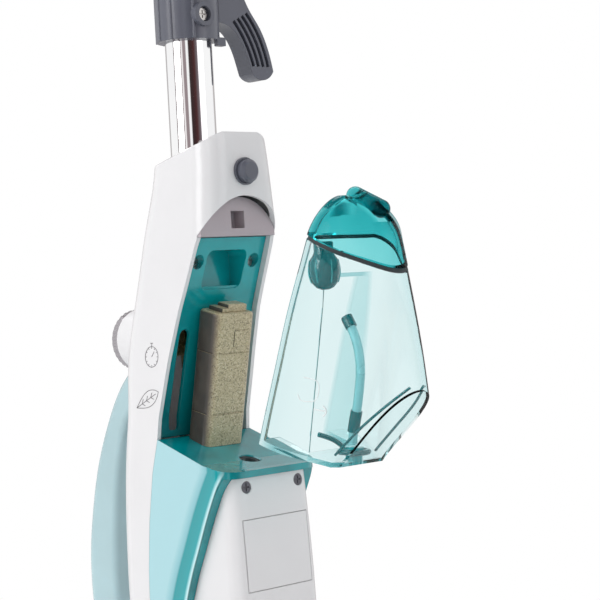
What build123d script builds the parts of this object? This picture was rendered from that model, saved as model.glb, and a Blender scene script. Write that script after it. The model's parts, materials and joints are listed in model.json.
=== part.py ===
from build123d import *
import math
import os

os.makedirs("parts", exist_ok=True)

# Millimetres, +Z up, floor at z = 0, -Y is the front of the mop, tube axis on x = y = 0.
TUBE_R = 13.0
TUBE_WALL = 1.3
TUBE_BOTTOM = 561.0
TUBE_TOP = 1003.0
WALL = 2.4
RUN = 0.05
TANK_OUT = 80.0
PITCH_Y = 6.0
PITCH_Z = 60.0
ROLL_Z = 94.0
HEAD_W = 290.0
HEAD_D = 168.0
KNOB_Z = 490.0
KNOB_FACE = 63.0
BUTTON_Z = 579.4
BUTTON_R = 6.2
LOW_HOOK_Z = 654.0
TOP_HOOK_Z = 915.0
GRIP_HALF = 12.0
OUTLET_Y = -33.0

# Outer body stations: z, front y, rear y, half width, front corner radius, rear corner radius.
BODY = [
    (604.0, -38.6, 13.2, 23.4, 13.0, 14.6),
    (585.0, -40.6, 15.0, 24.8, 13.0, 15.6),
    (565.0, -41.0, 19.0, 26.4, 13.0, 16.0),
    (545.0, -41.4, 24.5, 27.8, 13.0, 16.0),
    (520.0, -43.0, 31.0, 28.8, 12.6, 16.0),
    (497.0, -45.5, 36.8, 30.2, 12.2, 16.0),
    (470.0, -49.5, 40.0, 32.0, 12.0, 16.0),
    (440.0, -52.4, 41.6, 33.3, 12.0, 16.0),
    (410.0, -53.4, 45.0, 33.9, 12.0, 16.0),
    (375.0, -54.0, 46.8, 34.0, 12.0, 16.0),
    (340.0, -54.0, 47.2, 33.7, 12.0, 16.0),
    (300.0, -54.0, 45.4, 32.5, 12.0, 16.0),
    (260.0, -50.0, 40.6, 30.4, 12.0, 15.0),
    (220.0, -40.0, 33.6, 27.5, 11.0, 14.0),
    (172.0, -27.0, 25.0, 23.5, 10.0, 12.0),
]
# Lower front cover stations, inside the outer body.
LOWER = [
    (440.0, -48.6, 30.0, 28.0, 8.5, 6.0),
    (412.0, -50.0, 30.0, 28.3, 9.0, 6.0),
    (375.0, -52.0, 30.0, 29.2, 9.0, 6.0),
    (340.0, -53.0, 30.0, 29.6, 9.0, 6.0),
    (300.0, -52.4, 30.0, 29.2, 9.0, 6.0),
    (260.0, -48.4, 26.0, 27.2, 9.0, 6.0),
    (220.0, -39.0, 22.0, 24.0, 9.0, 6.0),
    (172.0, -26.0, 18.0, 19.4, 9.0, 6.0),
]
# Front edge of the white side panels in side view, from the arch down to the neck.
EDGE = [
    (-31.5, 545.0), (-14.5, 506.0), (-6.2, 481.0), (3.2, 448.0), (4.6, 437.0),
    (10.0, 418.0), (14.6, 392.0), (17.6, 365.0), (18.6, 345.0), (18.0, 300.0),
    (12.0, 258.0), (8.0, 220.0), (5.0, 172.0),
]
# Front edge of the teal side wings in side view.
WING = [
    (-49.5, 421.0), (-42.6, 409.5), (-35.6, 396.4), (-28.0, 380.5), (-20.6, 365.0),
    (-15.0, 351.0), (-8.0, 328.0), (0.0, 300.0), (8.0, 270.0), (11.6, 255.0),
]
# Top of the ledge that carries the tank, rear to front.
LEDGE = [(4.6, 437.0), (-33.0, 424.4), (-48.5, 421.4), (-60.0, 420.0)]
ARCH_R = 28.5
ARCH_Z = 538.0
PANEL_FRONT = -33.4
PANEL_BACK = -31.2

# Tank stations when seated: z, half width, rear y, front y, nose half width, fullness at mid length.
TANK = [
    (560.6, 9.0, -38.6, -47.0, 4.0, 0.80),
    (557.5, 15.8, -37.9, -52.5, 6.5, 0.80),
    (552.0, 21.6, -36.4, -60.0, 8.0, 0.80),
    (545.0, 25.6, -34.4, -66.5, 8.5, 0.80),
    (533.0, 27.0, -29.6, -70.6, 9.0, 0.78),
    (518.0, 27.8, -23.2, -73.6, 9.0, 0.73),
    (500.0, 28.7, -15.9, -77.0, 9.0, 0.66),
    (480.0, 29.7, -8.9, -80.2, 9.0, 0.57),
    (463.0, 30.6, -3.0, -82.5, 8.5, 0.48),
    (450.0, 31.2, 1.6, -83.8, 8.5, 0.40),
    (438.0, 31.7, 5.8, -84.6, 8.5, 0.33),
    (418.0, 32.4, 12.8, -85.5, 8.5, 0.26),
]
# Pose of the seated tank relative to the pulled-out one.
TANK_REST = Pos(0, -TANK_OUT, 0)


def side_prism(points, half=120.0):
    """Closed side-view polygon (y, z), extruded across x."""
    return extrude(Plane.YZ * make_face(Polyline(*points, close=True)), half, both=True)


def box(x0, x1, y0, y1, z0, z1):
    centre = ((x0 + x1) / 2, (y0 + y1) / 2, (z0 + z1) / 2)
    return Pos(*centre) * Box(x1 - x0, y1 - y0, z1 - z0)


def rod(p, q, r):
    """Round bar of radius r from point p to point q."""
    a = Vector(*p)
    b = Vector(*q)
    return extrude(Plane(origin=a, z_dir=(b - a).normalized()) * Circle(r), (b - a).length)


def ring_y(x, z, y0, y1, r):
    """Round bar along Y."""
    return rod((x, y0, z), (x, y1, z), r)


def corner_mid(cx, cy, r, sx, sy):
    return (cx + sx * r * math.sqrt(0.5), cy + sy * r * math.sqrt(0.5))


def section(z, yf, yr, w, rf, rr):
    """Rounded rectangle in plan with separate front and rear corner radii."""
    a = Line((-w + rf, yf), (w - rf, yf))
    b = ThreePointArc((w - rf, yf), corner_mid(w - rf, yf + rf, rf, 1, -1), (w, yf + rf))
    c = Line((w, yf + rf), (w, yr - rr))
    d = ThreePointArc((w, yr - rr), corner_mid(w - rr, yr - rr, rr, 1, 1), (w - rr, yr))
    e = Line((w - rr, yr), (-w + rr, yr))
    f = ThreePointArc((-w + rr, yr), corner_mid(-w + rr, yr - rr, rr, -1, 1), (-w, yr - rr))
    g = Line((-w, yr - rr), (-w, yf + rf))
    h = ThreePointArc((-w, yf + rf), corner_mid(-w + rf, yf + rf, rf, -1, -1), (-w + rf, yf))
    return Pos(0, 0, z) * make_face([a, b, c, d, e, f, g, h])


def body_solid(stations, inset):
    """Loft through the stations, shrunk by inset on every side wall."""
    faces = []
    for z, yf, yr, w, rf, rr in stations:
        shape = section(z, yf + inset, yr - inset, w - inset, rf - inset * 0.8, rr - inset * 0.8)
        faces.append(shape)
    return loft(faces)


def top_cap(drop):
    """Everything above the sloping, crowned top of the body, lowered by drop."""
    line = [(60, 578), (20, 581.5), (8, 585.0), (0, 589.0), (-12, 594.6), (-31, 600.0), (-46, 601.4)]
    low = [(y, z - drop) for y, z in line]
    slope = side_prism(low + [(-70, 601.4 - drop), (-70, 640), (60, 640)])
    crown = box(-60, 60, -80, 40, 560, 660) - rod((0, -100, 563.2), (0, 80, 521.0), 52.0 - drop)
    return slope + crown


def bay_front(shift_y=0.0, shift_z=0.0):
    """Everything in front of the side panels' front edge, from the arch line down."""
    line = [(y + shift_y, z) for y, z in EDGE]
    top = (line[0][0], line[0][1] + shift_z)
    return side_prism([(-140, 545 + shift_z), top] + line[1:] + [(5 + shift_y, 150), (-140, 150)])


def arch_cut(y0, y1, r):
    disc = ring_y(0, ARCH_Z, y0, y1, r)
    return disc & box(-60, 60, y0 - 1, y1 + 1, 544.9, 600)


def white_shell():
    """Both side panels, rear and front brow, before they are split down the middle."""
    outer = body_solid(BODY, 0.0) - top_cap(0.0)
    inner = body_solid(BODY, WALL) - top_cap(WALL) - box(-60, 60, -80, 80, 160, 176.4)
    shell = outer - inner - box(-60, 60, -80, 80, 150, 174)
    shell = shell - bay_front()
    shell = shell - arch_cut(-60, PANEL_BACK + 0.1, ARCH_R)
    shell = shell - ring_y(0, BUTTON_Z, -60, -20, BUTTON_R + 0.15)
    shell = shell - rod((0, 0, 540), (0, 0, 640), TUBE_R + RUN)
    shell = shell - ring_y(0, KNOB_Z, 30, 60, 3.95)
    shell = shell - switch_well(14.1, 21.1, 20.0)
    shell = shell - ring_y(0, 562, 10, 40, 2.55)
    shell = shell - box(-13, 13, -13, 13, 150, 180)
    boss = ring_y(0, KNOB_Z, 25, 57, 17.5) - body_solid(BODY, WALL)
    return shell + (boss - ring_y(0, KNOB_Z, 20, 60, 3.95))


def lower_cover():
    """White front cover below the ledge, a shell open at the back and the top."""
    outer = body_solid(LOWER, 0.0)
    inner = body_solid(LOWER, 2.2)
    shell = outer - inner
    shell = shell - box(-60, 60, -80, 80, 150, 174.2) - box(-60, 60, 4.4, 80, 150, 176.6)
    back = [(y + 4.0, z) for y, z in EDGE[4:]]
    shell = shell - side_prism([(80, 450)] + back + [(9, 150), (80, 150)])
    shell = shell - side_prism([(y, z - 3.4) for y, z in LEDGE] + [(-60, 460), (30, 460), (30, 433)])
    for x in (-18.5, 18.5):
        shell = shell - ring_y(x, 412, -60, -40, 3.3)
        shell = shell + (ring_y(x, 412, -47.9, -36, 5.5) - ring_y(x, 412, -60, -37, 1.6))
    recess = (outer - body_solid(LOWER, 1.3)) & box(-22.9, 22.9, -60, -45, 356.9, 395.1)
    return shell - recess


def rating_plate():
    """Blank cover plate let into the lower cover."""
    skin = body_solid(LOWER, 0.0) - body_solid(LOWER, 1.2)
    return skin & box(-22.6, 22.6, -60, -45, 357.2, 394.8)


def front_screws():
    parts = []
    for x in (-18.5, 18.5):
        head = ring_y(x, 412, -49.6, -47.9, 3.2)
        slot = box(x - 2.2, x + 2.2, -50, -48.9, 411.6, 412.4)
        cross = box(x - 0.4, x + 0.4, -50, -48.9, 409.8, 414.2)
        parts.append(head - slot - cross + ring_y(x, 412, -47.9, -37.5, 1.55))
    return Compound(children=parts)


def cradle():
    """Teal ledge, front rim and the two side wings, in one moulding."""
    outer = body_solid(BODY, 0.0)
    core = body_solid(LOWER, -0.15)
    region = [(-49.5, 421.3), (-48.5, 421.4), (-33.0, 424.4), (4.45, 437)]
    region = region + [(y - 0.15, z) for y, z in EDGE[5:10]]
    region = region + [(11.6, 258)] + list(reversed(WING))
    wings = (outer - core) & side_prism(region)
    floor = [(4.45, 437.0)] + LEDGE[1:] + [(-60, 416.8), (-48.5, 418.2), (-33, 421.2), (4.45, 433.8)]
    slab = outer & side_prism(floor)
    rim_zone = side_prism([(-60, 421), (-38, 421), (-38, 417.4), (-60, 417.4)])
    rim = (outer - core) & rim_zone
    whole = wings + slab + rim
    whole = whole - rod((0, OUTLET_Y, 400), (0, OUTLET_Y, 450), 6.0)
    return whole


def bay_liner():
    """Teal back wall of the tank bay with its pocket, screw seats and side slots."""
    front = [(-27.4, 544.7), (-10.6, 506.0), (-2.8, 481.0), (6.6, 448.0), (7.4, 437.4)]
    back = [(y + 2.2, z) for y, z in front]
    inner = body_solid(BODY, WALL + 0.05) - top_cap(WALL)
    wall = inner & side_prism(front + list(reversed(back)))
    # pocket between the two screws
    pocket = fillet(box(-14, 14, -28, -8, 517, 538).edges().filter_by(Axis.Y), 4.0)
    pocket_wall = fillet(box(-15.8, 15.8, -22, -6.2, 515.2, 539.8).edges().filter_by(Axis.Y), 5.5)
    ramp = side_prism([(-30, 522), (-8, 517), (-8, 510), (-30, 510)])
    behind = side_prism([(y + 0.6, z) for y, z in front] + [(60, 437), (60, 545)])
    wall = (wall - pocket) + ((pocket_wall - pocket + (pocket_wall & ramp)) & behind & inner)
    for x in (-19.7, 19.7):
        wall = wall + (ring_y(x, 532, -24.0, -10, 5.4) & behind)
        wall = wall - ring_y(x, 532, -60, -15, 3.8) - ring_y(x, 532, -60, 0, 1.9)
    # vertical slots on both sides of the filter
    for x in (-19.4, 19.4):
        slot = Pos(x, 0, 468) * Box(7.0, 80, 56)
        slot = fillet(slot.edges().filter_by(Axis.Y), 3.4)
        wall = wall - (slot & side_prism([(-40, 500), (40, 500), (40, 441), (-40, 441)]))
    return wall


def bay_screws():
    parts = []
    for x in (-19.7, 19.7):
        head = ring_y(x, 532, -17.0, -15.0, 3.6)
        across = box(x - 2.4, x + 2.4, -18, -16.1, 531.6, 532.4)
        upright = box(x - 0.4, x + 0.4, -18, -16.1, 529.6, 534.4)
        parts.append(head - across - upright + ring_y(x, 532, -15.0, -4, 1.85))
    return Compound(children=parts)


def catch_panel():
    """Grey panel that fills the arch, with the rectangular catch slot."""
    plate = ring_y(0, ARCH_Z, PANEL_FRONT, PANEL_BACK, ARCH_R - 0.15) & box(-60, 60, -40, -20, 545, 600)
    plate = plate & body_solid(BODY, 0.4)
    floor = box(-24.2, 24.2, PANEL_BACK, -27.5, 545, 547)
    frame = box(-6.9, 6.9, PANEL_BACK, -24, 547.0, 560.8)
    frame = frame - rod((0, 0, 540), (0, 0, 640), TUBE_R + 0.5)
    slot = box(-4.7, 4.7, -40, -25.2, 549.3, 558.6)
    return plate + floor + frame - slot


FILTER_LENGTH = 71.5
FILTER_DEPTH = 18.0
FILTER_WIDTH = 27.4
FILTER_TILT = 12.5


def filter_frame():
    """Slanted frame of the filter: local z runs up the bay wall, local y towards the front."""
    tilt = math.radians(FILTER_TILT)
    up = (0, -math.sin(tilt), math.cos(tilt))
    return Plane(origin=(0, 3.9, 437.5), x_dir=(-1, 0, 0), z_dir=up)


def filter_block(w, d, h, z):
    return filter_frame() * (Pos(0, FILTER_DEPTH / 2, z) * Box(w, d, h))


def filter_cartridge():
    """Anti-scale cartridge standing against the bay wall."""
    body = filter_block(FILTER_WIDTH, FILTER_DEPTH, FILTER_LENGTH + 8, FILTER_LENGTH / 2 - 4)
    body = fillet([e for e in body.edges() if e.length > 60], 4.6)
    body = fillet(body.faces().sort_by(Axis.Z)[-1].edges(), 1.6)
    for z in (49.5, 15.5):
        core = filter_block(FILTER_WIDTH - 1.0, FILTER_DEPTH - 1.0, 2.0, z)
        body = body - (filter_block(31, 28, 0.9, z) - core)
    below = [(12.0, 439.5)] + [(y, z + 0.1) for y, z in LEDGE] + [(-60, 400), (12, 400)]
    body = body - side_prism(below)
    pad = filter_frame() * (Pos(-4.6, FILTER_DEPTH - 0.2, 57.5) * Box(11, 1.2, 9))
    return body + pad


def filter_tab():
    """Pull tab on top of the cartridge."""
    tab = filter_frame() * (Pos(-3.0, 9.5, FILTER_LENGTH + 2.1) * Box(13, 9, 4.1))
    neck = filter_frame() * (Pos(5.9, 9.5, FILTER_LENGTH + 1.1) * Box(5, 11, 2.1))
    return fillet(tab.faces().sort_by(Axis.Z)[-1].edges(), 1.0) + neck


def tank_section(z, w, yr, yf, nose, full, t):
    """Plan section of the tank: flat rear, swept sides and a narrow rounded nose."""
    w = w - t
    yr = yr - t
    yf = yf + t
    nose = max(nose - t * 0.6, 1.5)
    rc = min(4.0, w * 0.4)
    yn = yf + nose * 0.42
    depth = yr - rc - yn
    a = Line((w - rc, yr), (-w + rc, yr))
    b = ThreePointArc((-w + rc, yr), corner_mid(-w + rc, yr - rc, rc, -1, 1), (-w, yr - rc))
    left_mid = (-(nose + (w - nose) * full), yr - rc - depth * 0.52)
    c = Spline((-w, yr - rc), left_mid, (-nose, yn), tangents=[(0, -1), (0.72, -0.70)])
    d = ThreePointArc((-nose, yn), (0, yf), (nose, yn))
    right_mid = (-left_mid[0], left_mid[1])
    e = Spline((nose, yn), right_mid, (w, yr - rc), tangents=[(0.72, 0.70), (0, 1)])
    f = ThreePointArc((w, yr - rc), corner_mid(w - rc, yr - rc, rc, 1, 1), (w - rc, yr))
    return Pos(0, 0, z) * make_face([a, b, c, d, e, f])


def tank_solid(t, top_drop=0.0):
    faces = []
    for z, w, yr, yf, nose, full in TANK:
        faces.append(tank_section(z - top_drop, w, yr, yf, nose, full, t))
    return loft(faces)


def below_seam(offset):
    """Half space under the cap seam, moved down by offset."""
    z0 = 542.4 - offset
    return side_prism([(-31 + 60, z0 + 30.6), (-31 - 90, z0 - 45.9), (-31 - 90, 380), (-31 + 60, 380)])


def tank_floor_cut(rise):
    """Space under the tank: the ledge plane and the straight facet that rises to the nose."""
    line = [(40, 449.2), (4.6, 437.5), (-33, 425.0), (-38, 425.0), (-82.9, 462.5)]
    up = [(y, z + rise) for y, z in line]
    return side_prism(up + [(-130, 462.5 + rise), (-130, 380), (40, 380)])


def filter_channel(grow):
    """Niche in the back of the tank that clears the cartridge."""
    half = 15.4 + grow
    front = [(-34.5 - grow, 520 + grow), (-32.0 - grow, 505), (-18.0 - grow, 440), (-12.8 - grow, 415)]
    rear = [(40, 415), (40, 520 + grow)]
    return side_prism(front + rear, half)


def tank_shell():
    """Transparent water tank below the cap, with the filter niche in its back."""
    outer = (tank_solid(0.0) & below_seam(1.0)) - tank_floor_cut(0.0)
    outer = outer - filter_channel(0.0)
    inner = tank_solid(2.0)
    water = inner - filter_channel(2.0) - tank_floor_cut(2.4)
    shell = outer - water
    shell = shell - rod((0, OUTLET_Y, 400), (0, OUTLET_Y, 445), 4.0)
    return max(shell.solids(), key=lambda s: s.volume)


def tank_cap():
    """Tinted dome that closes the tank, with the hook tongue at its back."""
    outer = tank_solid(-0.35) - below_seam(-1.6)
    inner = tank_solid(2.0, 2.2) - below_seam(-1.0)
    cap = outer - inner
    cap = cap - box(-5.6, 5.6, -67.6, -38.4, 546, 575)
    tongue = box(-3.9, 3.9, -38, -27.0, 551.2, 556.4)
    return cap + tongue


def tank_gasket():
    """Dark seal ring in the seam."""
    band = below_seam(-1.45) - below_seam(0.85)
    ring = (tank_solid(0.3) - tank_solid(2.6)) & band
    ring = ring - filter_channel(0.6)
    return max(ring.solids(), key=lambda s: s.volume)


def tank_latch():
    """Rounded press lever lying along the top of the cap."""
    bar = rod((0, -44.0, 560.4), (0, -61.5, 552.6), 4.6)
    bar = bar + Pos(0, -44.0, 560.4) * Sphere(4.6) + Pos(0, -61.5, 552.6) * Sphere(4.6)
    pivot = rod((-5.0, -44.0, 559.0), (5.0, -44.0, 559.0), 1.6)
    return bar + pivot


def latch_pin():
    return rod((-6.6, -44.0, 559.0), (6.6, -44.0, 559.0), 1.0)


def main_tube():
    tube = rod((0, 0, TUBE_BOTTOM), (0, 0, TUBE_TOP), TUBE_R)
    tube = tube - rod((0, 0, 500), (0, 0, 1100), TUBE_R - TUBE_WALL)
    return tube - ring_y(0, BUTTON_Z, -20, 0, 4.1)


def release_button():
    """Grey round button that frees the handle tube."""
    face = ring_y(0, BUTTON_Z, -47.0, -33.0, BUTTON_R)
    face = chamfer(face.faces().sort_by(Axis.Y)[0].edges(), 1.6)
    flange = ring_y(0, BUTTON_Z, -33.4, -31.6, 7.8)
    stem = ring_y(0, BUTTON_Z, -31.6, -17.9, 2.4)
    return face + flange + stem


def button_collar():
    """Thin bezel round the button."""
    ring = ring_y(0, BUTTON_Z, -42.4, -33, BUTTON_R + 1.2) - ring_y(0, BUTTON_Z, -60, -20, BUTTON_R + 0.1)
    return ring - body_solid(BODY, -0.02)


def tube_snap():
    """Sprung snap stud inside the tube, pushed clear by the button."""
    stud = ring_y(0, BUTTON_Z, -17.4, -8.4, 4.0)
    foot = ring_y(0, BUTTON_Z, -10.6, -8.4, 5.6) & rod((0, 0, 500), (0, 0, 620), TUBE_R - TUBE_WALL - 0.1)
    return stud + foot


def snap_spring():
    """Spring behind the snap stud, kept as one plain cylinder."""
    return ring_y(0, BUTTON_Z, -5.0, 9.5, 3.4) - ring_y(0, BUTTON_Z, -9, 10, 2.4)


def steam_knob():
    """Serrated steam regulator knob."""
    body = ring_y(0, KNOB_Z, 57.3, KNOB_FACE, 17.3)
    body = chamfer(body.faces().sort_by(Axis.Y)[-1].edges(), 1.2)
    for i in range(30):
        a = i * 12.0
        x = 18.0 * math.cos(math.radians(a))
        z = KNOB_Z + 18.0 * math.sin(math.radians(a))
        body = body - ring_y(x, z, 58.7, 71.0, 1.25)
    body = body - ring_y(0, KNOB_Z, KNOB_FACE - 1.2, 71.0, 11.6)
    body = body - ring_y(0, KNOB_Z, 50, 59.6, 3.9)
    return body


def knob_disc():
    disc = ring_y(0, KNOB_Z, KNOB_FACE - 1.2, KNOB_FACE + 0.4, 11.5)
    return disc - box(-0.7, 0.7, KNOB_FACE - 0.1, 66, KNOB_Z + 3, KNOB_Z + 10)


def knob_shaft():
    return ring_y(0, KNOB_Z, 27.0, 59.6, 3.9) + ring_y(0, KNOB_Z, 20.0, 27.0, 2.5)


def steam_valve():
    """Brass valve body behind the bay wall, on the knob's shaft."""
    body = box(-9, 9, 6.0, 24.0, KNOB_Z - 9, KNOB_Z + 9)
    body = fillet(body.edges().filter_by(Axis.Y), 2.0)
    body = body - ring_y(0, KNOB_Z, 15, 30, 2.6)
    return body + rod((0, 15, KNOB_Z - 9), (0, 15, KNOB_Z - 16), 4.0)


GRIP_OUTER = [
    (32, 475), (54, 474), (67.6, 462), (80, 443), (92, 417.5), (100, 390), (104, 368.5), (105, 350),
    (103.8, 330), (99, 305), (90, 281), (76, 259), (60, 247), (32, 246),
]
GRIP_GAP = [
    (36, 446), (57, 448), (66, 432), (73, 406), (77, 378), (78.5, 352),
    (77, 322), (71, 294), (61, 273), (34, 272),
]


def smooth_region(points):
    """Side-view region whose free edge is a spline, closed by a straight line."""
    curve = Spline(*points)
    return make_face([curve, Line(points[-1], points[0])])


def moved_in(points, distance):
    """The same free edge moved sideways by distance, towards the body for a positive value."""
    moved = []
    last = len(points) - 1
    for i, (y, z) in enumerate(points):
        ya, za = points[max(i - 1, 0)]
        yb, zb = points[min(i + 1, last)]
        size = math.hypot(yb - ya, zb - za)
        moved.append((y + (zb - za) / size * distance, z - (yb - ya) / size * distance))
    return moved


def rounded_slab(points, half, radius):
    """Region extruded across x with its curved rims rounded."""
    slab = extrude(Plane.YZ * smooth_region(points), half, both=True)
    rims = [e for e in slab.edges() if e.length > 60 and e.geom_type != GeomType.LINE]
    return fillet(rims, radius) if radius > 0 else slab


def grip_loop():
    """Rear carrying grip of the body, a hollow D loop."""
    loop = rounded_slab(GRIP_OUTER, GRIP_HALF, 5.0) - rounded_slab(GRIP_GAP, 40, 0)
    rims = [e for e in loop.edges() if abs(abs(e.center().X) - GRIP_HALF) < 0.01 and 60 < e.length]
    inner = [e for e in rims if e.geom_type != GeomType.LINE and e.center().Y < 82]
    loop = fillet(inner, 3.5)
    half = GRIP_HALF - 3.0
    hollow = rounded_slab(moved_in(GRIP_OUTER, 3.0), half, 0) - rounded_slab(moved_in(GRIP_GAP, -3.0), 40, 0)
    hollow = hollow - body_solid(BODY, -2.4)
    return loop - hollow - body_solid(BODY, -0.02) - ring_y(0, KNOB_Z, 20, 60, 17.55)


def grip_halves():
    loop = grip_loop()
    left = loop & box(-40, 0, 0, 200, 200, 520)
    right = loop & box(0, 40, 0, 200, 200, 520)
    return left, right


ROCKER_PIVOT = -2.0


def switch_plane():
    """Frame on the sloping rear face, local z pointing out of it."""
    return Plane(origin=(0, 25.6, 542), x_dir=(1, 0, 0), z_dir=(0, 0.947, 0.3214))


def power_switch():
    rocker = Pos(0, 0, -1.6) * Box(11.0, 16.6, 6.4)
    rocker = fillet(rocker.edges().filter_by(Axis.X), 1.2)
    rocker = rocker - Pos(0, 4.4, 1.6) * Box(3.4, 0.8, 0.8)
    pivot = rod((-6.5, 0, ROCKER_PIVOT), (6.5, 0, ROCKER_PIVOT), 1.2)
    return switch_plane() * (rocker + pivot)


def switch_well(w, h, deep):
    return switch_plane() * (Pos(0, 0, -deep / 2 + 2) * Box(w, h, deep))


def switch_frame():
    frame = switch_well(14.0, 21.0, 8.4) - switch_well(11.6, 18.0, 30.0)
    keep = body_solid(BODY, -0.6) - body_solid(BODY, 4.5)
    holes = rod((-8, 0, ROCKER_PIVOT), (8, 0, ROCKER_PIVOT), 1.25)
    return (frame & keep) - switch_plane() * holes


def indicator_lamp():
    return ring_y(0, 562, 13.6, 20.6, 2.5)


def boiler():
    tank = rod((0, 2, 222), (0, 2, 318), 20.0)
    tank = fillet(tank.edges(), 5.0)
    ports = rod((0, 2, 317), (0, 2, 330), 3.5) + rod((0, 2, 223), (0, 2, 208), 3.5)
    flange = rod((0, 2, 268), (0, 2, 272), 22.5)
    return tank + ports + flange


def pump():
    body = rod((-14, -18, 368), (14, -18, 368), 13.0)
    foot = box(-10, 10, -30, -8, 352, 358)
    ends = rod((-18, -18, 368), (18, -18, 368), 5.0)
    return body + foot + ends


def water_pipe():
    """Silicone hose from the tank seat past the pump to the boiler."""
    start = (0, OUTLET_Y, 412.8)
    path = FilletPolyline(start, (0, OUTLET_Y, 390), (0, 2, 390), (0, 2, 330.3), radius=8)
    return sweep(Plane(origin=start, z_dir=(0, 0, -1)) * Circle(3.0), path=path)


def steam_pipe():
    """Metal pipe from the boiler down to the neck."""
    return rod((0, 2, 207.7), (0, 2, 181), 3.0)


def valve_pipe():
    """Metal pipe from the steam valve down behind the pump."""
    path = FilletPolyline((0, 15, 473.8), (0, 15, 462), (0, 23, 450), (0, 23, 330), radius=6)
    return sweep(Plane(origin=(0, 15, 473.8), z_dir=(0, 0, -1)) * Circle(2.4), path=path)


def control_board():
    board = box(-20, 20, 34.0, 35.6, 290, 400)
    for z in (310, 340, 372):
        board = board + box(-9, 9, 28.5, 34.0, z - 6, z + 6)
    return board


def valve_seat():
    """Rubber seat in the ledge under the tank outlet."""
    ring = rod((0, OUTLET_Y, 413), (0, OUTLET_Y, 426.6), 5.9)
    ring = ring - rod((0, OUTLET_Y, 400), (0, OUTLET_Y, 440), 3.1)
    return ring & side_prism([(10, 437.9), (-60, 414.6), (-60, 400), (10, 400)])


def outlet_valve():
    """Spring-loaded outlet plug in the floor of the tank."""
    stem = rod((0, OUTLET_Y, 424.0), (0, OUTLET_Y, 430.8), 3.92)
    plug = stem + rod((0, OUTLET_Y, 430.7), (0, OUTLET_Y, 434.0), 4.9)
    return plug - tank_floor_cut(0.2)


def pickup_tube():
    """Hose that hangs from the cap down to the outlet."""
    pts = [(0, -47.5, 520), (0, -46.4, 500), (0, -44.6, 482), (0, -41.6, 465), (0, -37.0, 450), (0, -33.0, 437)]
    curve = Spline(*pts)
    circle = Plane(origin=curve @ 0, z_dir=curve % 0) * Circle(2.3)
    return sweep(circle, path=curve)


HOOK_X = -4.5


def hook_profile():
    """Front view of the cord hook arm."""
    pts = [(12, 697), (22, 698), (31, 690), (41, 672), (47, 664), (51.4, 656), (54.6, 647), (56.6, 638.6)]
    outer = Spline(*pts)
    tip = ThreePointArc((56.6, 638.6), (49, 633.4), (40.6, 636.6))
    inner = Spline((40.6, 636.6), (37.6, 646), (33.4, 655), (27.8, 661), (20, 664), (12, 664))
    return Pos(HOOK_X, 0) * make_face([outer, tip, inner, Line((12, 664), (12, 697))])


def lower_hook():
    """Ribbed cord hook; its boss is screwed to the collar."""
    plane = Plane(origin=(0, 0, 0), x_dir=(1, 0, 0), z_dir=(0, -1, 0))
    arm = extrude(plane * hook_profile(), 11.4)
    for k in range(4):
        off = 3.3 + k * 3.6
        top = (HOOK_X + 41 - off * 0.88, 672 - off * 0.45)
        mid = (HOOK_X + 51.4 - off * 0.94, 656 - off * 0.36)
        low = (HOOK_X + 55.9 - off, 641.0)
        path = Spline(top, mid, low)
        ribbon = trace(path, line_width=2.1)
        arm = arm - extrude(Plane(origin=(0, -12.4, 0), x_dir=(1, 0, 0), z_dir=(0, -1, 0)) * ribbon, -6.0)
    for r in (8.2, 11.6):
        groove = ring_y(-2.8, 667, -16, -8.5, r + 1.1) - ring_y(-2.8, 667, -16, -8.5, r - 1.1)
        arm = arm - (groove & box(0, 20, -20, 0, 655, 680))
    arm = arm - rod((0, 0, 640), (0, 0, 720), 17.5 + RUN)
    return arm


def lower_collar():
    """Clamp sleeve on the tube with vertical ribs and the hook's screw boss."""
    sleeve = rod((0, 0, LOW_HOOK_Z), (0, 0, 704), 17.5)
    for a in (-118, -160, 170, 130, 100, 60, 20):
        x = 17.4 * math.cos(math.radians(a))
        y = 17.4 * math.sin(math.radians(a))
        sleeve = sleeve + rod((x, y, LOW_HOOK_Z), (x, y, 704), 0.8)
    boss = ring_y(-2.8, 667, -19.0, -8, 6.6) + ring_y(-2.8, 687, -17.8, -8, 3.0)
    sleeve = sleeve + boss
    sleeve = sleeve - rod((0, 0, 600), (0, 0, 740), TUBE_R + RUN)
    sleeve = sleeve - ring_y(-2.8, 667, -30, -14.6, 4.15)
    tab = box(8, 14, -15.5, -11.6, 650.6, 655.2)
    return sleeve + (tab - rod((0, 0, 600), (0, 0, 740), 15.0))


def hook_screw():
    head = ring_y(-2.8, 667, -16.6, -14.6, 3.4)
    return head - box(-4.9, -0.7, -17, -15.7, 666.6, 667.4) - box(-3.2, -2.4, -17, -15.7, 664.9, 669.1)


def upper_collar():
    sleeve = rod((0, 0, TOP_HOOK_Z - 18), (0, 0, TOP_HOOK_Z + 18), 17.5)
    stem = rod((10, 0, TOP_HOOK_Z), (24, 0, TOP_HOOK_Z), 8.0)
    bore = rod((15.6, 0, TOP_HOOK_Z), (30, 0, TOP_HOOK_Z), 4.05)
    return sleeve + stem - rod((0, 0, 850), (0, 0, 960), TUBE_R + RUN) - bore


def upper_hook():
    """Quick-release cord hook that turns on its stem."""
    stem = rod((15.9, 0, TOP_HOOK_Z), (26, 0, TOP_HOOK_Z), 4.0)
    z = TOP_HOOK_Z
    outer = Spline((24.4, z - 9), (34, z - 7), (44, z + 6), (51, z + 22), (56, z + 38))
    tip = ThreePointArc((56, z + 38), (49, z + 43), (41, z + 40))
    inner = Spline((41, z + 40), (37.6, z + 27), (32.6, z + 15), (24.4, z + 9))
    face = make_face([outer, tip, inner, Line((24.4, z + 9), (24.4, z - 9))])
    arm = extrude(Plane(origin=(0, 6, 0), x_dir=(1, 0, 0), z_dir=(0, -1, 0)) * face, 12.0)
    arm = fillet(arm.edges().filter_by(Axis.Y), 1.5)
    return stem + arm


HANDLE_Z = 1094.0


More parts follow.
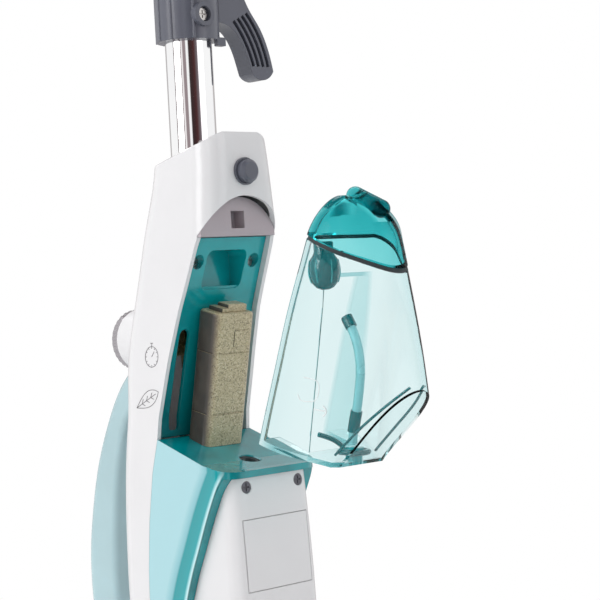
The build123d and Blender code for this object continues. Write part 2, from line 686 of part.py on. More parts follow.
def handle_oval(dy, dz, half):
    face = Pos(8, HANDLE_Z) * Ellipse(dy, dz)
    return extrude(Plane.YZ * face, half, both=True)


def handle_halves():
    """Closed loop grip at the top of the tube, moulded in two halves."""
    loop = handle_oval(56, 96, 15.5) - handle_oval(30, 68, 30)
    loop = fillet([e for e in loop.edges() if abs(abs(e.center().X) - 15.5) < 0.1], 7.0)
    hollow = handle_oval(53.4, 93.4, 12.9) - handle_oval(32.6, 70.6, 30)
    loop = loop - (hollow - box(-40, 40, -80, 80, 990, 1024))
    neck = rod((0, 0, 962), (0, 0, 1022), 18.0)
    neck = chamfer(neck.faces().sort_by(Axis.Z)[0].edges(), 2.0)
    whole = loop + neck
    whole = whole - rod((0, 0, 940), (0, 0, TUBE_TOP + 0.2), TUBE_R + RUN)
    groove = handle_oval(58, 98, 8.0) - handle_oval(53.6, 93.6, 30)
    groove = groove & box(-40, 40, 20, 80, 1050, 1180)
    whole = whole - groove
    whole = whole - rod((0, -19.5, 972), (0, -14.0, 972), 5.1)
    left = whole & box(-60, 0, -100, 100, 900, 1250)
    right = whole & box(0, 60, -100, 100, 900, 1250)
    return left, right


def grip_pad():
    pad = handle_oval(56.4, 96.4, 7.6) - handle_oval(53.8, 93.8, 30)
    return pad & box(-40, 40, 20.4, 80, 1050.4, 1179.6)


def cable_gland():
    """Inlet bush where a mains cord would enter the handle; no cord is modelled."""
    bush = rod((0, -26, 972), (0, -14.2, 972), 5.0)
    return bush - rod((0, -30, 972), (0, -15, 972), 2.9)


def neck_housing():
    """Tapered neck under the body with the tongue of the swivel joint."""
    shape = loft([
        section(173.8, -24.0, 23.0, 21.5, 9.0, 11.0),
        section(150.0, -20.0, 20.0, 18.5, 9.0, 10.0),
        section(124.0, -16.0, 16.0, 16.0, 8.0, 8.0),
    ])
    plug = box(-12.9, 12.9, -12.9, 12.9, 172, 181)
    tongue = ring_y(0, ROLL_Z, -9.8, 9.8, 12.0) + box(-12, 12, -9.8, 9.8, ROLL_Z, 125)
    shape = shape + plug + tongue
    shape = shape - ring_y(0, ROLL_Z, -20, 20, 4.05)
    shape = shape - rod((0, 0, 108), (0, 0, 190), 5.5)
    shape = shape - ring_y(0, 152, -30, -8, 6.0)
    return shape


def brush_button():
    """Grey button on the neck that frees the floor head."""
    face = ring_y(0, 152, -24.0, -12.0, 5.9)
    return fillet(face.faces().sort_by(Axis.Y)[0].edges(), 1.4)


def swivel_knuckle():
    """Cross piece with the head pivot below and the fork for the neck above."""
    barrel = rod((-16, PITCH_Y, PITCH_Z), (16, PITCH_Y, PITCH_Z), 11.0)
    cheek_f = ring_y(0, ROLL_Z, -16.0, -10.0, 12.0) + box(-12, 12, -16, -10, 64, ROLL_Z)
    cheek_r = ring_y(0, ROLL_Z, 10.0, 16.0, 12.0) + box(-12, 12, 10, 16, 64, ROLL_Z)
    web = box(-12, 12, -16, 16, 56, 78)
    shape = barrel + ((cheek_f + cheek_r + web) - rod((-30, PITCH_Y, PITCH_Z), (-16, PITCH_Y, PITCH_Z), 12))
    shape = shape - ring_y(0, ROLL_Z, -9.9, 9.9, 15.2)
    shape = shape - ring_y(0, ROLL_Z, -20, 20, 4.05)
    shape = shape - rod((-30, PITCH_Y, PITCH_Z), (30, PITCH_Y, PITCH_Z), 4.05)
    under = side_prism([(-40, 50), (-4, 50), (-17, 62), (-40, 62)])
    return shape - under


def roll_pin():
    return ring_y(0, ROLL_Z, -16.6, 16.6, 4.0)


def pitch_pin():
    return rod((-26, PITCH_Y, PITCH_Z), (26, PITCH_Y, PITCH_Z), 4.0)


def head_outline(inset):
    """Plan of the floor head: a rounded trapezoid, wider at the front."""
    w = HEAD_W / 2 - inset
    d = HEAD_D / 2 - inset
    pts = [(-w, -d), (w, -d), (w - 34, d), (-w + 34, d)]
    face = make_face(Polyline(*pts, close=True))
    return fillet(face.vertices(), 26 - inset * 0.5)


def head_base():
    """Floor plate with a steam outlet row and two pivot ears."""
    base = extrude(Pos(0, 0, 8.4) * head_outline(3.0), 10.6)
    base = base - extrude(Pos(0, 0, 12.6) * head_outline(6.5), 12)
    base = base + box(-34, 34, -30, 34, 12.6, 19)
    for s in (-1, 1):
        ear = box(17.0, 25.0, PITCH_Y - 12, PITCH_Y + 12, 12.6, PITCH_Z)
        ear = ear + rod((17.0, PITCH_Y, PITCH_Z), (25.0, PITCH_Y, PITCH_Z), 12)
        base = base + (ear if s > 0 else mirror(ear, Plane.YZ))
    base = base - rod((-40, PITCH_Y, PITCH_Z), (40, PITCH_Y, PITCH_Z), 4.02)
    for x in range(-100, 101, 25):
        base = base - rod((x, -30, 0), (x, -30, 30), 1.5)
    for x in (-96, 96):
        base = base + (rod((x, 30, 12.6), (x, 30, 24.0), 5.0) - rod((x, 30, 12.6), (x, 30, 30), 1.6))
    return base


def head_cover():
    """White top cover of the head, rising to the joint."""
    low = Pos(0, 0, 19.0) * head_outline(3.0)
    mid = Pos(0, 0, 30.0) * head_outline(12.0)
    cover = loft([low, mid])
    top = Pos(0, 3, 30.0) * RectangleRounded(150, 96, 30)
    crown = loft([top, Pos(0, 3, 41.0) * RectangleRounded(112, 64, 22)])
    inner = loft([Pos(0, 0, 19.0) * head_outline(5.6), Pos(0, 0, 27.4) * head_outline(13.0)])
    low_in = Pos(0, 3, 27.0) * RectangleRounded(144, 90, 27)
    crown_in = loft([low_in, Pos(0, 3, 38.6) * RectangleRounded(108, 60, 20)])
    shape = cover + crown - inner - crown_in
    shape = shape - box(-27.5, 27.5, -32, 50, 15, 60)
    for x in (-96, 96):
        shape = shape - rod((x, 30, 15), (x, 30, 40), 3.6)
        shape = shape + (rod((x, 30, 24.2), (x, 30, 27.5), 5.4) - rod((x, 30, 15), (x, 30, 40), 1.7))
    return shape


def head_bumper():
    """Teal soft band round the edge of the head."""
    ring = extrude(Pos(0, 0, 9.4) * head_outline(0.0), 8.0) - extrude(Pos(0, 0, 5) * head_outline(2.95), 20)
    return ring


def head_screws():
    parts = []
    for x in (-96, 96):
        head = rod((x, 30, 27.6), (x, 30, 29.2), 3.4)
        cross = box(x - 2.2, x + 2.2, 29.6, 30.4, 28.4, 30)
        parts.append(head - cross + rod((x, 30, 14.0), (x, 30, 27.6), 1.55))
    return Compound(children=parts)


def joint_boot():
    """Grey frame round the joint opening of the cover."""
    frame = box(-27.4, 27.4, -31.9, 49.9, 33.0, 42.6)
    frame = fillet(frame.edges().filter_by(Axis.Z), 5.0)
    hole = box(-25.4, 25.4, -29.9, 47.9, 20, 60)
    return frame - hole


def steam_nozzle():
    """Steam distributor between the joint and the outlet row."""
    bar = box(-106, 106, -36, -24, 12.7, 17.6)
    bar = bar - box(-104, 104, -34, -26, 10, 15.2)
    return bar - box(-34.1, 34.1, -30.1, 40, 10, 30)


def velcro_pads():
    parts = []
    for x, y in ((-96, -58), (-32, -58), (32, -58), (96, -58), (-74, 58), (0, 58), (74, 58)):
        parts.append(box(x - 22, x + 22, y - 9, y + 9, 7.3, 8.3))
    return Compound(children=parts)


def mop_cloth():
    """Microfibre pad, a plain closed slab with a rolled edge."""
    pad = extrude(head_outline(-2.0), 6.9)
    return fillet(pad.edges().filter_by(Plane.XY), 2.4)


def write(name, shape):
    export_step(shape, "parts/" + name + ".step")


def side_panels():
    """The white shell in two mouldings; the left one carries the whole brow above the arch."""
    shape = white_shell()
    brow = box(0, 60, -80, -17, 545, 640)
    left = shape & (box(-60, 0, -80, 80, 150, 640) + brow)
    right = (shape & box(0, 60, -80, 80, 150, 640)) - brow
    return left, right


left_panel, right_panel = side_panels()
write("left_side_panel", left_panel)
write("right_side_panel", right_panel)
write("lower_front_cover", lower_cover())
write("blank_plate", rating_plate())
write("front_cover_screws", front_screws())
write("tank_cradle", cradle())
write("tank_bay_wall", bay_liner())
write("bay_screws", bay_screws())
write("catch_panel", catch_panel())
write("filter_cartridge", filter_cartridge())
write("filter_pull_tab", filter_tab())
write("water_tank", TANK_REST * tank_shell())
write("tank_cap", TANK_REST * (tank_cap() - latch_pin()))
write("tank_gasket", TANK_REST * tank_gasket())
write("tank_latch_lever", TANK_REST * (tank_latch() - rod((-9, -44, 559), (9, -44, 559), 1.05)))
write("tank_latch_pin", TANK_REST * latch_pin())
write("tank_outlet_valve", TANK_REST * outlet_valve())
write("tank_pickup_hose", TANK_REST * pickup_tube())
write("tube", main_tube())
write("tube_release_button", release_button())
write("button_bezel", button_collar())
write("tube_snap_stud", tube_snap())
write("snap_spring", snap_spring())
write("steam_knob", steam_knob())
write("knob_disc", knob_disc())
write("knob_shaft", knob_shaft())
write("steam_valve", steam_valve())
grip_left, grip_right = grip_halves()
write("rear_grip_left", grip_left)
write("rear_grip_right", grip_right)
write("power_rocker", power_switch())
write("power_switch_frame", switch_frame())
write("indicator_lamp", indicator_lamp())
write("boiler", boiler())
write("pump", pump())
write("water_hose", water_pipe())
write("steam_pipes", Compound(children=[steam_pipe(), valve_pipe()]))
write("control_board", control_board())
write("tank_valve_seat", valve_seat())
write("lower_hook_collar", lower_collar())
write("lower_cord_hook", lower_hook())
write("lower_hook_screw", hook_screw())
write("upper_hook_collar", upper_collar())
write("upper_cord_hook", upper_hook())
handle_left, handle_right = handle_halves()
write("handle_left", handle_left)
write("handle_right", handle_right)
write("handle_grip_pad", grip_pad())
write("cable_inlet", cable_gland())
write("neck", neck_housing())
write("head_release_button", brush_button())
write("swivel_knuckle", swivel_knuckle())
write("swivel_pin", roll_pin())
write("head_pivot_pin", pitch_pin())
write("head_base", head_base())
write("head_cover", head_cover())
write("head_bumper", head_bumper())
write("head_screws", head_screws())
write("joint_surround", joint_boot())
write("steam_distributor", steam_nozzle())
write("velcro_pads", velcro_pads())
write("mop_cloth", mop_cloth())
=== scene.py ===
"""Steam mop: looks, mop pad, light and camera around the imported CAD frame.

Blender works in metres. Points and radii handed to the mesh helpers are in millimetres, as in the CAD.
"""
import json
import math

import bpy
import bmesh
from mathutils import Matrix, Vector


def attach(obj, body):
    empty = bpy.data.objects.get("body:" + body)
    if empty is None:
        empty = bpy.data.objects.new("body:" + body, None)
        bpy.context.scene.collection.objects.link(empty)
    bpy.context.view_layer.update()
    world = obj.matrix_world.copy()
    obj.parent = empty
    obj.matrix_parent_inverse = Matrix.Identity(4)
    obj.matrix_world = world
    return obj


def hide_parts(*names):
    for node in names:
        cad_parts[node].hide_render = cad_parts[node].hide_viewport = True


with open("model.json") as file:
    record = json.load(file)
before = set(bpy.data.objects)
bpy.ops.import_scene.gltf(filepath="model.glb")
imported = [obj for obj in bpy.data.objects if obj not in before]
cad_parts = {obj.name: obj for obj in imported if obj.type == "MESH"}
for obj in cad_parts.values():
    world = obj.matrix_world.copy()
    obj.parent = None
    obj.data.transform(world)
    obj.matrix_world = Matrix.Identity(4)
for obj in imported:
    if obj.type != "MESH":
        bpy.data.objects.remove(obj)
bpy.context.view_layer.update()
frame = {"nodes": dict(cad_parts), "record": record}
NODES = frame["nodes"]

MM = 0.001

# ---------------------------------------------------------------- sizes, in millimetres
# mop pad in plan: a rounded trapezoid, wider at the front
PAD_HALF_W = 146.5
PAD_HALF_D = 85.5
PAD_TAPER = 34.0
PAD_CORNER = 26.0
# printed signs on the left face
SIGN_LIFT = 0.05
SIGN_LINE = 0.17
# fittings inside the tank, with the tank pulled out as it is at rest
AIR_VALVE_X = -15.6
AIR_VALVE_Y = -115.0
OUTLET_Y = -113.0
BUTTON_Z = 579.4
# side view (z, y) of the front edge of the teal wings, bottom to top
WING_EDGE = [
    (255.0, 11.6), (270.0, 8.0), (300.0, 0.0), (328.0, -8.0), (351.0, -15.0),
    (365.0, -20.6), (380.5, -28.0), (396.4, -35.6), (409.5, -42.6), (421.0, -49.5),
]
WING_Y_RANGE = (-60.0, 20.0)
# depth in mm behind the wings' front edge over which the painted edge shade, the painted highlight line and
# the deeper band run
WING_BAND = 20.0

# ---------------------------------------------------------------- camera, metres and degrees
CAMERA_PLACE = (-0.62146, -0.74560, 0.52027)
CAMERA_YAW = 43.0
CAMERA_PITCH = 0.7
CAMERA_ROLL = -3.1
CAMERA_LENS = 105.0

# ---------------------------------------------------------------- colours, linear
WHITE = (0.80, 0.79, 0.80)
GREY_WHITE = (0.50, 0.43, 0.46)
TEAL = (0.0, 0.31, 0.335)
TEAL_DEEP = (0.0, 0.13, 0.14)
TEAL_PALE = (0.40, 0.67, 0.72)
GRIP_TINT = (0.60, 0.80, 0.84)
SLATE = (0.105, 0.11, 0.14)
TAN_DARK = (0.12, 0.10, 0.06)
TAN = (0.50, 0.40, 0.24)
TAN_LIGHT = (0.74, 0.64, 0.45)
INK = (0.16, 0.15, 0.16)


# ================================================================ materials
GRAIN_DEPTH = 0.00004         # metres, moulding grain of the plain plastics
CLEAR_IOR = 1.15              # lower than real plastic, so that the tank's edges stay light


class Graph:
    """Small helper for building a node tree. Inputs are constants or output sockets."""

    def __init__(self, owner):
        owner.use_nodes = True
        self.nodes = owner.node_tree.nodes
        self.links = owner.node_tree.links
        self.nodes.clear()

    def add(self, kind, **values):
        node = self.nodes.new(kind)
        for key, value in values.items():
            setattr(node, key, value)
        return node

    def link(self, a, b):
        self.links.new(a, b)

    def put(self, value, socket):
        """A constant goes on the socket itself, an output is linked to it."""
        if isinstance(value, bpy.types.NodeSocket):
            self.link(value, socket)
        elif isinstance(value, tuple):
            socket.default_value = (*value, 1.0)
        else:
            socket.default_value = value

    def spread(self, value, low, high, start=0.3, stop=0.7):
        """Maps start to low and stop to high, clamped."""
        node = self.add("ShaderNodeMapRange")
        node.inputs["From Min"].default_value = start
        node.inputs["From Max"].default_value = stop
        node.inputs["To Min"].default_value = low
        node.inputs["To Max"].default_value = high
        self.link(value, node.inputs["Value"])
        return node.outputs["Result"]

    def ramp(self, value, stops):
        node = self.add("ShaderNodeValToRGB")
        elements = node.color_ramp.elements
        while len(elements) < len(stops):
            elements.new(0.5)
        for element, (place, colour) in zip(elements, stops):
            element.position = place
            element.color = (*colour, 1.0)
        self.link(value, node.inputs["Fac"])
        return node.outputs["Color"]

    def mix(self, factor, a, b):
        node = self.add("ShaderNodeMix", data_type="RGBA")
        for socket, value in ((node.inputs[0], factor), (node.inputs[6], a), (node.inputs[7], b)):
            self.put(value, socket)
        return node.outputs[2]

    def mix_shader(self, factor, a, b):
        node = self.add("ShaderNodeMixShader")
        for socket, value in zip(node.inputs, (factor, a, b)):
            self.link(value, socket)
        return node.outputs["Shader"]

    def maths(self, operation, *values, clamp=False):
        node = self.add("ShaderNodeMath", operation=operation, use_clamp=clamp)
        for socket, value in zip(node.inputs, values):
            self.put(value, socket)
        return node.outputs["Value"]

    def split(self, vector):
        node = self.add("ShaderNodeSeparateXYZ")
        self.link(vector, node.inputs["Vector"])
        return node.outputs["X"], node.outputs["Y"], node.outputs["Z"]


class Finish(Graph):
    """Node tree of one material of the object."""

    def __init__(self, name):
        self.mat = bpy.data.materials.new(name)
        super().__init__(self.mat)
        self.out = self.add("ShaderNodeOutputMaterial")
        self.coords = self.add("ShaderNodeTexCoord").outputs["Object"]

    def noise(self, scale, detail=3.0, stretch=(1, 1, 1)):
        """Noise value in object coordinates, scale in features per metre."""
        place = self.add("ShaderNodeMapping")
        place.inputs["Scale"].default_value = stretch
        node = self.add("ShaderNodeTexNoise")
        node.inputs["Scale"].default_value = scale
        node.inputs["Detail"].default_value = detail
        self.link(self.coords, place.inputs["Vector"])
        self.link(place.outputs["Vector"], node.inputs["Vector"])
        return node.outputs["Fac"]

    def facing_x(self):
        """X part of the surface's normal: -1 on the left side, 1 on the right."""
        return self.split(self.add("ShaderNodeTexCoord").outputs["Normal"])[0]

    def bump(self, height, strength, depth, soften=0.0):
        node = self.add("ShaderNodeBump")
        node.inputs["Strength"].default_value = strength
        node.inputs["Distance"].default_value = depth
        self.link(height, node.inputs["Height"])
        if soften:
            edge = self.add("ShaderNodeBevel", samples=4)
            edge.inputs["Radius"].default_value = soften
            self.link(edge.outputs["Normal"], node.inputs["Normal"])
        return node.outputs["Normal"]

    def principled(self, colour, roughness, normal, **sockets):
        shader = self.add("ShaderNodeBsdfPrincipled")
        self.put(colour, shader.inputs["Base Color"])
        self.link(roughness, shader.inputs["Roughness"])
        self.link(normal, shader.inputs["Normal"])
        for key, value in sockets.items():
            shader.inputs[key.replace("_", " ")].default_value = value
        return shader.outputs["BSDF"]

    def finish(self, surface, volume=None):
        self.link(surface, self.out.inputs["Surface"])
        if volume is not None:
            self.link(volume, self.out.inputs["Volume"])
        return self.mat


def plastic(name, colour, rough, grain=900.0, shade=0.93, soften=0.0, **sockets):
    """Moulded plastic: slight colour drift, fine grain and uneven gloss."""
    t = Finish(name)
    darker = tuple(c * shade for c in colour)
    tone = t.mix(t.spread(t.noise(28.0), 0.0, 1.0), colour, darker)
    gloss = t.spread(t.noise(60.0), rough - 0.015, rough + 0.03)
    normal = t.bump(t.noise(grain, 2.0), 0.25, GRAIN_DEPTH, soften)
    return t.finish(t.principled(tone, gloss, normal, **sockets))


def wing_plastic():
    """Glossy teal moulding: pale on its flat sides, deeper on the ledge and along the front edge; along that
    edge runs a dark line of painted shade and a pale line of painted highlight.
    """
    t = Finish("teal_cradle")
    _, y, z = t.split(t.coords)
    # a curve gives the y of the wing's front edge at each height; the bands, painted shade and painted
    # highlight among them, follow that edge
    low, high = WING_EDGE[0][0], WING_EDGE[-1][0]
    front, rear = WING_Y_RANGE
    edge = t.add("ShaderNodeFloatCurve")
    curve = edge.mapping.curves[0]
    while len(curve.points) < len(WING_EDGE):
        curve.points.new(0.5, 0.5)
    for point, (height, depth) in zip(curve.points, WING_EDGE):
        point.location = ((height - low) / (high - low), (depth - front) / (rear - front))
    edge.mapping.update()
    t.link(t.spread(z, 0.0, 1.0, low * MM, high * MM), edge.inputs["Value"])
    edge_y = t.spread(edge.outputs["Value"], front * MM, rear * MM, 0.0, 1.0)
    inside = t.maths("SUBTRACT", y, edge_y)
    # colour of the flat sides by depth behind the front edge: painted shade on the edge (0.00 to 0.04), a
    # painted highlight line (0.08 to 0.14), a deeper teal band, then the pale side
    side_tone_with_painted_edge = t.ramp(t.spread(inside, 0.0, 1.0, 0.0, WING_BAND * MM), [
        (0.00, (0.0, 0.13, 0.14)), (0.04, (0.0, 0.16, 0.17)), (0.08, (0.62, 0.86, 0.88)),
        (0.14, (0.30, 0.66, 0.70)), (0.20, (0.0, 0.34, 0.37)), (0.62, (0.0, 0.30, 0.33)),
        (0.70, (0.22, 0.52, 0.57)), (1.0, TEAL_PALE)])
    flat = t.spread(t.maths("ABSOLUTE", t.facing_x()), 0.0, 1.0, 0.80, 0.97)
    deep = t.mix(t.spread(t.noise(60.0), 0.0, 1.0), TEAL, (0.0, 0.20, 0.22))
    tone = t.mix(flat, deep, side_tone_with_painted_edge)
    gloss = t.spread(t.noise(200.0, 3.0), 0.10, 0.18)
    normal = t.bump(t.noise(700.0, 2.0), 0.2, 0.00003, 0.0007)
    shader = t.principled(tone, gloss, normal, Coat_Weight=0.5, Coat_Roughness=0.05)
    return t.finish(shader)


def bay_plastic():
    """Teal back wall of the bay: glossy, a little lighter towards the top; the darker lower part is painted
    shade.
    """
    t = Finish("teal_bay")
    z = t.split(t.coords)[2]
    # painted shade: darker teal low in the bay, lighter towards its top
    height = t.spread(z, 0.0, 1.0, 0.440, 0.545)
    tone = t.ramp(height, [
        (0.0, (0.0, 0.19, 0.21)), (0.45, (0.0, 0.31, 0.34)), (1.0, (0.0, 0.42, 0.45))])
    tone = t.mix(t.spread(t.noise(45.0), 0.0, 0.25), tone, TEAL_DEEP)
    gloss = t.spread(t.noise(150.0, 3.0), 0.12, 0.22)
    normal = t.bump(t.noise(600.0, 2.0), 0.2, 0.00003, 0.0006)
    return t.finish(t.principled(tone, gloss, normal, Coat_Weight=0.4, Coat_Roughness=0.06))


def clear_plastic(name, tint, absorb, density, rough=0.02, light=(0.8, 0.95, 0.96)):
    """Transparent plastic coloured by its thickness, with tinted shadows so that light reaches the inside."""
    t = Finish(name)
    gloss = t.spread(t.noise(120.0, 3.0), rough, rough + 0.03)
    normal = t.bump(t.noise(240.0, 2.0), 0.15, 0.00002)
    body = t.principled(tint, gloss, normal, Transmission_Weight=1.0, IOR=CLEAR_IOR)
    through = t.add("ShaderNodeBsdfTransparent")
    through.inputs["Color"].default_value = (*light, 1.0)
    path = t.add("ShaderNodeLightPath")
    mixed = t.mix_shader(path.outputs["Is Shadow Ray"], body, through.outputs["BSDF"])
    haze = t.add("ShaderNodeVolumeAbsorption")
    haze.inputs["Color"].default_value = (*absorb, 1.0)
    haze.inputs["Density"].default_value = density
    return t.finish(mixed, haze.outputs["Volume"])


def chrome():
    t = Finish("chrome_tube")
    gloss = t.spread(t.noise(300.0, 3.0, stretch=(1, 1, 0.05)), 0.02, 0.06)
    tone = t.mix(t.spread(t.noise(20.0), 0.0, 1.0), (0.93, 0.93, 0.93), (0.88, 0.88, 0.89))
    normal = t.bump(t.noise(1500.0, 2.0, stretch=(1, 1, 0.02)), 0.05, 0.00001)
    return t.finish(t.principled(tone, gloss, normal, Metallic=1.0))


def metal(name, colour, rough, scale=1200.0):
    t = Finish(name)
    gloss = t.spread(t.noise(400.0, 3.0), rough - 0.06, rough + 0.10)
    tone = t.mix(t.spread(t.noise(60.0), 0.0, 1.0), colour, tuple(c * 0.85 for c in colour))
    normal = t.bump(t.noise(scale, 2.0), 0.3, 0.00002)
    return t.finish(t.principled(tone, gloss, normal, Metallic=1.0))


def filter_grains():
    """Tan granules; the faces turned to the left are painted a mottled dark brown, painted shade."""
    t = Finish("filter_granules")
    cells = t.add("ShaderNodeTexVoronoi")
    cells.inputs["Scale"].default_value = 1700.0
    t.link(t.coords, cells.inputs["Vector"])
    speck = t.add("ShaderNodeSeparateColor")
    t.link(cells.outputs["Color"], speck.inputs["Color"])
    tone = t.ramp(speck.outputs["Red"], [
        (0.0, TAN_DARK), (0.12, (0.28, 0.22, 0.13)), (0.40, TAN),
        (0.75, (0.58, 0.48, 0.31)), (1.0, TAN_LIGHT)])
    cloud = t.noise(90.0, 3.0)
    tone = t.mix(t.spread(cloud, 0.1, 0.45), tone, (0.52, 0.42, 0.26))
    # painted shade: faces turned to the left (-x) darken to a mottled dark brown
    painted_left_shade = t.mix(t.spread(cloud, 0.0, 1.0), (0.040, 0.034, 0.030), (0.075, 0.062, 0.050))
    tone = t.mix(t.spread(t.facing_x(), 1.0, 0.0, -0.95, -0.45), tone, painted_left_shade)
    gloss = t.spread(t.noise(300.0), 0.30, 0.45)
    normal = t.bump(cells.outputs["Distance"], 0.2, 0.0002, 0.0006)
    return t.finish(t.principled(tone, gloss, normal, Coat_Weight=0.3, Coat_Roughness=0.15))


def rubber(name, colour):
    t = Finish(name)
    tone = t.mix(t.spread(t.noise(80.0), 0.0, 1.0), colour, tuple(c * 0.7 for c in colour))
    gloss = t.spread(t.noise(250.0, 3.0), 0.55, 0.75)
    normal = t.bump(t.noise(1500.0, 3.0), 0.4, 0.00005)
    return t.finish(t.principled(tone, gloss, normal))


def pile_cloth():
    """Microfibre: short loops, slightly uneven colour and sheen, with painted shade between the loops."""
    t = Finish("microfibre")
    loops = t.add("ShaderNodeTexVoronoi", feature="F1")
    loops.inputs["Scale"].default_value = 420.0
    t.link(t.coords, loops.inputs["Vector"])
    tone = t.mix(t.spread(t.noise(35.0, 4.0), 0.0, 1.0), (0.72, 0.78, 0.79), (0.60, 0.68, 0.70))
    # painted shade: darker towards the edges of each loop cell, between the loops
    tone = t.mix(t.spread(loops.outputs["Distance"], 0.0, 0.5, 0.2, 0.9), tone, (0.35, 0.45, 0.47))
    gloss = t.spread(t.noise(400.0), 0.85, 0.98)
    normal = t.bump(loops.outputs["Distance"], 0.8, 0.0009)
    return t.finish(t.principled(tone, gloss, normal, Sheen_Weight=0.5, Sheen_Roughness=0.4))


def board_green():
    t = Finish("board")
    tracks = t.add("ShaderNodeTexBrick")
    tracks.inputs["Scale"].default_value = 160.0
    tracks.inputs["Color1"].default_value = (0.01, 0.13, 0.05, 1)
    tracks.inputs["Color2"].default_value = (0.02, 0.18, 0.07, 1)
    tracks.inputs["Mortar"].default_value = (0.25, 0.30, 0.10, 1)
    t.link(t.coords, tracks.inputs["Vector"])
    gloss = t.spread(t.noise(300.0), 0.35, 0.5)
    normal = t.bump(t.noise(500.0), 0.3, 0.00005)
    return t.finish(t.principled(tracks.outputs["Color"], gloss, normal))


GLOSSY = {"Coat_Weight": 0.4, "Coat_Roughness": 0.06}
SATIN = {"Coat_Weight": 0.25, "Coat_Roughness": 0.08}
WHITE_MAT = plastic("white_plastic", WHITE, 0.24, soften=0.0008, shade=0.97, **SATIN)
MATS = {
    "white_plastic": WHITE_MAT,
    "grey_white_plastic": plastic("catch_grey", GREY_WHITE, 0.38, soften=0.0004),
    "teal_plastic": plastic("teal_plastic", TEAL, 0.16, soften=0.0006, **GLOSSY),
    "pale_teal_plastic": plastic("grip_plastic", GRIP_TINT, 0.18, Transmission_Weight=0.3, IOR=1.2,
                                 Coat_Weight=0.3, Coat_Roughness=0.08),
    "tank_clear": clear_plastic("tank_plastic", (0.98, 1.0, 1.0), (0.10, 0.60, 0.63), 70.0, 0.01),
    "cap_teal": clear_plastic("cap_plastic", (0.45, 0.90, 0.91), (0.0, 0.66, 0.68), 260.0,
                              light=(0.2, 0.7, 0.7)),
    "dark_grey_plastic": plastic("slate_plastic", SLATE, 0.30, soften=0.0006, Coat_Weight=0.15),
    "filter_tan": filter_grains(),
    "rubber_black": rubber("seal_rubber", (0.03, 0.04, 0.045)),
    "chrome": chrome(),
    "steel": metal("steel", (0.62, 0.60, 0.58), 0.28),
    "brass": metal("brass", (0.62, 0.45, 0.20), 0.30),
    "board_green": board_green(),
    "lamp_green": plastic("lamp", (0.10, 0.60, 0.20), 0.10, Transmission_Weight=0.6, Coat_Weight=0.5),
    "cloth": pile_cloth(),
    "boiler_metal": metal("cast_metal", (0.62, 0.62, 0.62), 0.45, scale=500.0),
}
# without softened edges, so that no seam shows where the two panels meet
PANEL_WHITE = plastic("panel_white", WHITE, 0.24, shade=0.97, **SATIN)
# nodes whose finish differs from that of their slot
SPECIAL = {
    "tank_cradle": wing_plastic(),
    "tank_bay_wall": bay_plastic(),
    "blank_plate": WHITE_MAT,
    "front_cover_screws": plastic("screw_caps", (0.13, 0.12, 0.14), 0.4),
    "button_bezel": MATS["dark_grey_plastic"],
    "steam_knob": metal("dark_chrome", (0.42, 0.40, 0.42), 0.12),
    "left_side_panel": PANEL_WHITE,
    "right_side_panel": PANEL_WHITE,
}
SIGN_INK = plastic("sign_ink", INK, 0.5)
SIGN_WHITE = plastic("sign_white", (0.86, 0.90, 0.90), 0.4)
DEEP_TEAL_PART = plastic("deep_teal_part", (0.0, 0.10, 0.11), 0.12, Coat_Weight=0.5, Coat_Roughness=0.05)
MID_TEAL_PART = plastic("mid_teal_part", (0.03, 0.36, 0.38), 0.15, Transmission_Weight=0.3, Coat_Weight=0.3)
HOSE_MAT = plastic("hose_silicone", (0.28, 0.58, 0.61), 0.25, Transmission_Weight=0.25)


def dress_frame():
    """Every CAD node keeps its shape and gets its finish."""
    for entry in frame["record"]["subparts"]:
        name = entry["node"]
        mat = SPECIAL.get(name, MATS[entry["material_slot"]])
        mesh = NODES[name].data
        mesh.materials.clear()
        mesh.materials.append(mat)


# ================================================================ mesh helpers
def new_object(name, mesh_or_curve, mat, body):
    obj = bpy.data.objects.new(name, mesh_or_curve)
    bpy.context.scene.collection.objects.link(obj)
    mesh_or_curve.materials.append(mat)
    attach(obj, body)
    return obj


def tube_piece(name, paths, radius, mat, body, closed=False):
    """Round bars of one radius along the given points, one bar per path."""
    data = bpy.data.curves.new(name, "CURVE")
    data.dimensions = "3D"
    data.bevel_depth = radius * MM
    data.bevel_resolution = 3
    data.use_fill_caps = not closed
    data.resolution_u = 8
    for points in paths:
        spline = data.splines.new("NURBS")
        spline.points.add(len(points) - 1)
        for point, place in zip(spline.points, points):
            point.co = (*(Vector(place) * MM), 1.0)
        spline.order_u = 3
        spline.use_endpoint_u = not closed
        spline.use_cyclic_u = closed
    return new_object(name, data, mat, body)


def loft_mesh(name, rings, mat, body):
    """Closed smooth mesh through rings of equal point count, each a list of (x, y, z)."""
    bm = bmesh.new()
    rows = []
    for ring in rings:
        rows.append([bm.verts.new(Vector(p) * MM) for p in ring])
    count = len(rings[0])
    for low, high in zip(rows, rows[1:]):
        for i in range(count):
            j = (i + 1) % count
            bm.faces.new((low[i], low[j], high[j], high[i]))
    bm.faces.new(list(reversed(rows[0])))
    bm.faces.new(rows[-1])
    bmesh.ops.recalc_face_normals(bm, faces=bm.faces)
    mesh = bpy.data.meshes.new(name)
    bm.to_mesh(mesh)
    bm.free()
    for face in mesh.polygons:
        face.use_smooth = True
    return new_object(name, mesh, mat, body)


# ================================================================ small printed signs
def on_left(node, y, z):
    """Point just outside the left face of a CAD node."""
    _, place, _, _ = NODES[node].ray_cast(Vector((-200, y, z)) * MM, Vector((1, 0, 0)))
    return (place.x / MM - SIGN_LIFT, y, z)


def polar(cy, cz, r, degrees):
    """Point (y, z) at radius r and that angle round (cy, cz)."""
    a = math.radians(degrees)
    return (cy + r * math.cos(a), cz + r * math.sin(a))


def printed(name, node, lines, radius, mat, body):
    """Thin raised print on the left face of a node, one line per list of (y, z)."""
    paths = [[on_left(node, y, z) for y, z in line] for line in lines]
    return tube_piece(name, paths, radius, mat, body)


